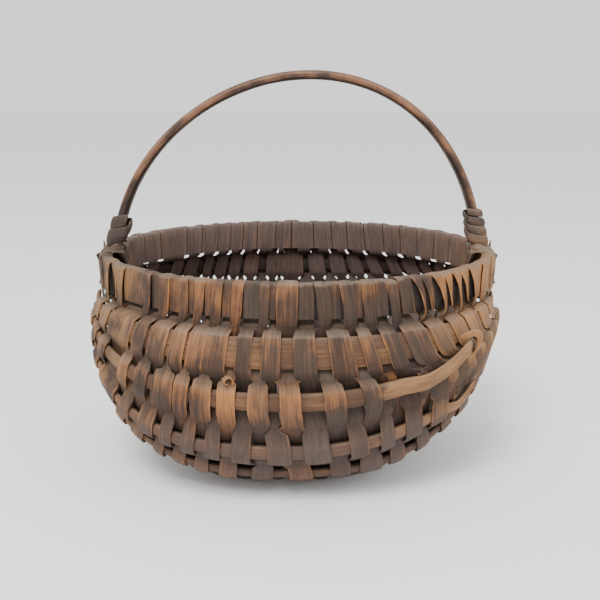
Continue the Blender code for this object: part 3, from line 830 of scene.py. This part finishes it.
# Nearly black where unworn and under painted shade, tan at its bends (worn, with a painted highlight) and the
# ears, grey below, dusty on top
splint_oak = riven_oak("riven_oak_splint", "#180f0c", "#60402f", "#a56f40", "#796a5b",
                       dusty=0.7, sides=0.65, greyed=0.75)
for row in range(ROWS):
    wear = min(LEAST_WEAR + TONES[row], 1.0)
    path = [(left, right, wear_and_highlight * wear, painted_shade) for left, right, wear_and_highlight, painted_shade in bent(*row_path(row))]
    weaver = splint("splint_%02d" % (row + 1), path, TONES[row], row + 1.0)
    finish_piece(weaver, splint_oak, "oak_splint", "weaver_%02d" % (row + 1))

# Two broken ends: a tan splint is caught round the tip of the upper slipped rib, and another has
# snapped at its bend on the second rib, so that its end has curled up.
# The way of the first one from the tip: along the rib, across it and out of it, and its half width
CAUGHT_WAY = (
    (-6, -8, -3.5, 2.2), (-2, -9, 1, 2.4), (4, -5, 2.2, 2.6), (7, 1, 2, 2.6), (6.5, 8, 1, 2.4),
    (7.5, 15, -4, 2.2),
)


def both_edges(path):
    """Left and right edge of a strip along (middle, half width, worn with a painted highlight, painted shade,
    rounding).
    """
    return [[(place + half * way, *look) for place, half, *look in path] for way in (-1, 1)]


(tip, across, out, half_w, half_t), along = LOOSE_TIPS[2]
path = []
for i, (a, c, o, half) in enumerate(CAUGHT_WAY):
    before, after = CAUGHT_WAY[max(i - 1, 0)], CAUGHT_WAY[min(i + 1, len(CAUGHT_WAY) - 1)]
    way = (along * (after[0] - before[0]) + across * (after[1] - before[1])).normalized()
    path.append((tip + along * a + across * c + out * o, out.cross(way) * half, 1.0, 0.0, 3.0))
caught = splint("caught_splint", bent(*both_edges(path)), 0.8, 81.0)
finish_piece(caught, splint_oak, "oak_splint")

CURL_LEVEL, CURL_ROW = 2, 16
CURL_BELOW, CURL_SUNK = 8.0, 0.5       # how far below the rib its roll lies, and how far in
CURL_TILT = (0.55, 0.83)               # how much its roll lies along the rib, and how much it stands out
CURL_STEPS, CURL_FROM, CURL_TURN = 10, -2.2, 0.6     # radians
CURL_REACH, CURL_TIGHTER = 3.6, 0.24   # radius of the roll, and what it loses at each step
CURL_HALF, CURL_NARROWER, CURL_THICK = 2.4, 0.1, 0.7
point, across, out, way, half_w, half_t = row_edge(CURL_LEVEL, CURL_ROW, 0, 0.0)
far_edge = row_edge(CURL_LEVEL, CURL_ROW, 1, 0.0)[0]
centre = (point + far_edge) / 2 - across * (half_w + CURL_BELOW) + out * (half_t - CURL_SUNK)
row_way = (far_edge - point).normalized()
axis = row_way * CURL_TILT[0] + out * CURL_TILT[1]
turned = out * CURL_TILT[0] - row_way * CURL_TILT[1]
path = []
for i in range(CURL_STEPS):
    angle, reach = CURL_TURN * i + CURL_FROM, CURL_REACH - CURL_TIGHTER * i
    place = centre + (turned * math.sin(angle) - across * math.cos(angle)) * reach
    path.append((place, axis * (CURL_HALF - CURL_NARROWER * i), 0.9, 0.0, 1.0))
curl = splint("curled_end", bent(*both_edges(path)), 0.9, 83.0, thick=CURL_THICK)
finish_piece(curl, splint_oak, "oak_splint")

# Handle wraps: a narrow splint wound round each leg of the handle just above the ear, which keeps
# the first weavers down: a turn and a half on the left, three and a half narrower ones on the right.
# Of each: side, height of its start above the rim, sides of the handle that it covers, width, pitch,
# how loose it is at its foot, and how much higher it lies on the inner side
WRAPS = {"left": (-1, 17.4, 6, 12.0, 10.0, 2.4, 1.9), "right": (1, 16.2, 14, 7.4, 6.4, 2.0, 1.3)}
WRAP_SIDES = ((1, 1), (-1, 1), (-1, -1), (1, -1))     # across the handle and out of it, in turn
WRAP_TAPER, WRAP_TIGHTER = 0.3, 0.75   # what it has lost of its width and of its looseness at its top
# Split thin and soaked to be wound, so it has dried paler and greyer
lash_oak = riven_oak("riven_oak_lashing", "#2b211e", "#5a4840", "#967459", "#776d62", wear=0.15, sides=0.2)
side_y, side_o = HOOP_WIDE / 2 + GAP + SPLINT / 2, HOOP_THICK / 2 + GAP + SPLINT / 2
lengths = (2 * side_y, 2 * side_o)
for side_name, (sign, height, sides, foot_wide, pitch, foot_loose, tilt) in WRAPS.items():
    edges = ([], [])
    for i in range(sides + 1):
        y, o = WRAP_SIDES[i % 4]
        width = foot_wide * (1 - WRAP_TAPER * i / sides)
        loose = foot_loose * (1 - WRAP_TIGHTER * i / sides)
        for half, store in zip((-0.5, 0.5), edges):
            angle = (height + half * width - o * tilt) / HANDLE_RISE
            point, across, out = handle_frame(angle if sign > 0 else math.pi - angle)
            store.append((point + across * y * side_y + out * o * (side_o + loose), 0.4, 0.0, 3.0))
        height += pitch * lengths[i % 2] / (2 * sum(lengths))
    wrap = splint("handle_wrap_%s_oak" % side_name, bent(*edges, steps=8), 0.4, 50.0 + sign, crown=0.7 * sign)
    finish_piece(wrap, lash_oak, "oak_lashing", "handle_wrap_" + side_name)

# Ear lashings: a splint crossed over each joint of the two hoops and passed behind the handle
# hoop, above and below the rim. It is what holds the frame together before the ribs go in.
LASH_HALF, LASH_NARROW = 5.2, 0.65     # its half width, and what is left of it behind the handle
LASH_TALL, LASH_SIDE = 11.5, 14.3
# Distances from the middle of the basket: its two layers outside, those inside, and where it climbs
LASH_OUT, LASH_IN, LASH_CLIMB = (135.5, 137.0), (121.0, 119.5), 126.5
LASH_TAILS = (0.9, 0.8)                # how far its first and its last end reach, of its half height
# Its ends fan out over the rim beside the handle, each set off from the one before it
EAR_STRIPS, STRIP_FIRST, STRIP_APART = 4, 0.985, 0.027
UP = Vector((0, 0, 1))
# One strand is tucked in under the rim, and short tails stand up behind the ear
TUCK_FIRST, TUCK_APART, TUCK_STEPS = 0.99, 0.02, 11
TUCK_HALF, TUCK_DROP = 5.5, 14.5
TAILS = {"left": 1, "right": 2}


def lashing_edges(sign):
    """Both edges of the crossed splint of one ear."""
    (first, second), (near, far) = LASH_OUT, LASH_IN
    path = (
        (first, -1, -LASH_TAILS[0]), (first, 1, 1), (near, 1, 1), (near, -1, -1), (LASH_CLIMB, -1, -1),
        (LASH_CLIMB, -1, 1), (far, -1, 1), (far, 1, -1), (second, 1, -1),
        (second, -LASH_TAILS[1], LASH_TAILS[1]),
    )
    edges = ([], [])
    for x, y, z in path:
        half = LASH_HALF * (LASH_NARROW if x == LASH_CLIMB else 1)
        for way, store in zip((-1, 1), edges):
            place = Vector((sign * x, y * LASH_SIDE + way * half, RIM_Z + z * LASH_TALL))
            store.append((place, 0.6, 0.05, 3.0))
    return edges


def fan_edges(sign, i):
    """Both edges of a strip that goes up the outside of the rim, over it and in behind the handle."""
    share = sign * (STRIP_FIRST - STRIP_APART * i)
    point, across, out = frame_at(0, 1, u=share)[:3]
    along = (member_at(0, share - sign * 0.02) - point).normalized()
    end_z = RIM_Z + 15.5 - 1.2 * i
    path = (
        (point + out * 3.0 - UP * (17.0 - 3.5 * i), along * 3.6),
        (point + out * 4.3 - UP * (8.5 - i), along * 3.8),
        (point + out * 4.6 + UP * 9.5, along * 3.4),
        (point + out * 1.0 + UP * (13.5 - 0.4 * i), along * 3.0),
        (Vector((sign * (125.5 - 0.8 * i), -9.8 - 0.45 * i, end_z)), UP * -2.4),
        (Vector((sign * (121.2 - 0.3 * i), -6.0, end_z)), UP * -2.2),
    )
    return both_edges([(place, half, 0.7, 0.0, 3.5) for place, half in path])


def tuck_edges(sign):
    """Both edges of the strand under the rim, behind the first rows, where the rib tips end."""
    strand = [frame_at(0, 1, u=sign * (TUCK_FIRST - TUCK_APART * i))[:3] for i in range(TUCK_STEPS)]
    # Painted shade, as it lies under the rim
    return [[(point + out * (0.5 - 1.5 * way) + Vector((0, 0, way * TUCK_HALF - TUCK_DROP)), 0.3, 0.3, 1.0)
             for point, across, out in strand] for way in (-1, 1)]


def tail_edges(sign, i):
    """Both edges of a short pointed end that stands up behind the ear."""
    foot = Vector((sign * (135.3 - 1.5 * i), 7.0 + 2.0 * i, RIM_Z + 4.0))
    tip = Vector((sign * (136.9 - 2.2 * i), 8.0, RIM_Z + 15.5 - 1.5 * i))
    # Painted shade, darker towards its foot
    return both_edges([
        (foot, Vector((2.0, 0, 0)), 0.3, 0.3, 1.0), (foot.lerp(tip, 0.5), Vector((1.2, 0, 0)), 0.3, 0.2, 1.0),
        (tip, Vector((0.25, 0, 0)), 0.4, 0.1, 1.0),
    ])


for sign, side_name in ((-1, "left"), (1, "right")):
    lashing = splint("ear_lashing_%s_oak" % side_name, bent(*lashing_edges(sign)), 0.4, 60.0 + sign)
    finish_piece(lashing, lash_oak, "oak_lashing", "ear_lashing_" + side_name)
    for i in range(EAR_STRIPS):
        name, tone = "ear_fan_%s_%d" % (side_name, i + 1), 0.45 + 0.1 * (i % 2)
        strip = splint(name, bent(*fan_edges(sign, i)), tone, 70.0 + 3 * i + sign)
        finish_piece(strip, lash_oak, "oak_lashing")
    tuck = splint("ear_tuck_" + side_name, bent(*tuck_edges(sign)), 0.35, 95.0 + sign)
    finish_piece(tuck, lash_oak, "oak_lashing")
    for i in range(TAILS[side_name]):
        name = "ear_tail_%s_%d" % (side_name, i + 1)
        tail = splint(name, bent(*tail_edges(sign, i)), 0.3, 90.0 + i + sign, ragged=0.1)
        finish_piece(tail, lash_oak, "oak_lashing")

# The stage: a pale sheet of paper under and behind the basket, lit by soft boxes, and a camera that
# looks down on the rim from a little above it.
SHEET = 6.0     # metres; half its side
bm = bmesh.new()
bmesh.ops.create_grid(bm, x_segments=1, y_segments=1, size=SHEET)
mesh = bpy.data.meshes.new("studio_floor")
bm.to_mesh(mesh)
bm.free()
floor = bpy.data.objects.new("studio_floor", mesh)
bpy.context.scene.collection.objects.link(floor)
paper = bpy.data.materials.new("matt_white_paper")
paper.use_nodes = True
paper_shader = paper.node_tree.nodes["Principled BSDF"]
paper_shader.inputs["Base Color"].default_value = linear("#f4f4f3")
paper_shader.inputs["Roughness"].default_value = 0.9
mesh.materials.append(paper)

STUDIO_LIGHT = 1.3
world = bpy.data.worlds.new("studio")
world.use_nodes = True
world.node_tree.nodes["Background"].inputs["Color"].default_value = (1.0, 1.0, 1.0, 1.0)
world.node_tree.nodes["Background"].inputs["Strength"].default_value = STUDIO_LIGHT
bpy.context.scene.world = world

# Place and size in metres, and watts
SOFT_BOXES = {
    "key": ((-0.35, -1.0, 1.4), 0.6, 32.0),
    "fill": ((1.1, -0.8, 0.7), 1.0, 5.0),
}
AIM = Vector((0.0, 0.0, 0.12))
for name, (spot, size, power) in SOFT_BOXES.items():
    lamp = bpy.data.lights.new("soft_box_" + name, "AREA")
    lamp.size = size
    lamp.energy = power
    light = bpy.data.objects.new("soft_box_" + name, lamp)
    light.location = spot
    light.rotation_euler = (AIM - Vector(spot)).to_track_quat("-Z", "Y").to_euler()
    bpy.context.scene.collection.objects.link(light)

CAMERA = (Vector((2.0, -636.0, 266.0)) + SHIFT) * MM
LOOK_DOWN = 13.82     # degrees
LENS, FILM = 55.32, 36.0
camera = bpy.data.objects.new("camera", bpy.data.cameras.new("camera"))
camera.data.lens = LENS
camera.data.sensor_width = FILM
camera.location = CAMERA
camera.rotation_euler = (math.radians(90.0 - LOOK_DOWN), 0.0, 0.0)
bpy.context.scene.collection.objects.link(camera)
bpy.context.scene.camera = camera
